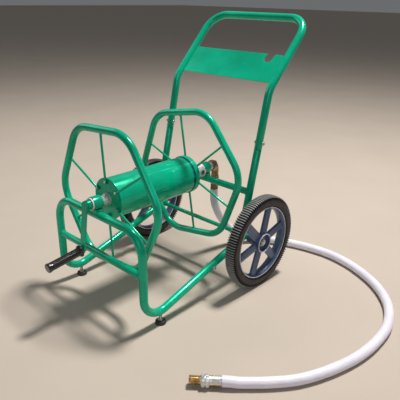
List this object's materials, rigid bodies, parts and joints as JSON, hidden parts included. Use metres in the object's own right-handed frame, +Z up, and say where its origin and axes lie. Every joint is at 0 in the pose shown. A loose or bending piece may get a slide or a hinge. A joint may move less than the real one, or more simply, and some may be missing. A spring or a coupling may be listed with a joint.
{
  "type": "garden hose reel cart",
  "caption": "Wheeled tube-frame cart with a hand-cranked drum reel for garden hose, a push handle with a nozzle slot, levelling feet and a free inlet hose.",
  "frame": {"origin": "On the ground under the middle of the cart's length and width, the free hose left out.", "axes": "+Z up, +Y along the drum from the crank towards the push handle, +X to the right seen from the crank."},
  "size_m": [1.1366, 1.1005, 0.948],
  "materials": {
    "green_paint": "gloss powder coat",
    "zinc": "zinc plate",
    "galvanised": "galvanised pipe",
    "white_plastic": "turned nylon",
    "tyre": "lugged rubber",
    "rim_plastic": "moulded, fine grain",
    "black_rubber": "moulded rubber",
    "brass": "cast and turned, dulled",
    "hose_plastic": "milky clear flexible tube"
  },
  "bodies": {
    "frame": {"front_frame": "green_paint", "front_brace": "green_paint", "rear_rail_left": "green_paint", "rear_rail_right": "green_paint", "upright_left": "green_paint", "upright_right": "green_paint", "bearing_cross_tube": "green_paint", "handle_loop": "green_paint", "handle_plate": "green_paint", "handle_bolts": "zinc", "rail_bolts": "zinc", "axle": "green_paint", "axle_bosses": "green_paint", "axle_washers": "zinc", "axle_nuts": "zinc", "foot_pads": "black_rubber", "foot_studs": "zinc", "foot_nuts": "zinc", "front_bearing_sleeve": "green_paint", "rear_bearing_sleeve": "green_paint", "front_saddle": "green_paint", "rear_saddle": "green_paint", "front_bushing": "white_plastic", "rear_bushing": "white_plastic", "swivel_elbow": "brass", "swivel_seal": "black_rubber", "inlet_ferrule": "brass", "hose": "hose_plastic", "hose_end_ferrule": "brass", "hose_end_collar": "galvanised", "hose_end_nipple": "brass"},
    "reel": {"drum_shell": "green_paint", "drum_disc_front": "green_paint", "drum_disc_rear": "green_paint", "drum_bolts": "zinc", "flange_ring_front": "green_paint", "flange_ring_rear": "green_paint", "spokes_front": "green_paint", "spokes_rear": "green_paint", "front_shaft": "galvanised", "shaft_coupling": "galvanised", "rear_shaft": "galvanised", "inlet_nipple": "galvanised", "outlet_tee": "galvanised", "crank_hub": "green_paint", "crank_arm": "green_paint", "grip_pin": "zinc"},
    "crank_grip": {"crank_grip": "black_rubber"},
    "wheel_left": {"wheel_rim_left": "rim_plastic", "tyre_left": "tyre"},
    "wheel_right": {"wheel_rim_right": "rim_plastic", "tyre_right": "tyre"}
  },
  "joints": [
    {"name": "reel_spin", "type": "hinge", "parent": "frame", "child": "reel", "pos_m": [0, -0.25913, 0.388], "axis": [0, 1, 0], "continuous": true},
    {"name": "crank_grip_spin", "type": "hinge", "parent": "reel", "child": "crank_grip", "pos_m": [0, -0.43139, 0.23153], "axis": [0, 0.9903, 0.1392], "continuous": true},
    {"name": "wheel_left_spin", "type": "hinge", "parent": "frame", "child": "wheel_left", "pos_m": [-0.298, 0.19473, 0.178], "axis": [1, 0, 0], "continuous": true},
    {"name": "wheel_right_spin", "type": "hinge", "parent": "frame", "child": "wheel_right", "pos_m": [0.298, 0.19473, 0.178], "axis": [1, 0, 0], "continuous": true}
  ]
}
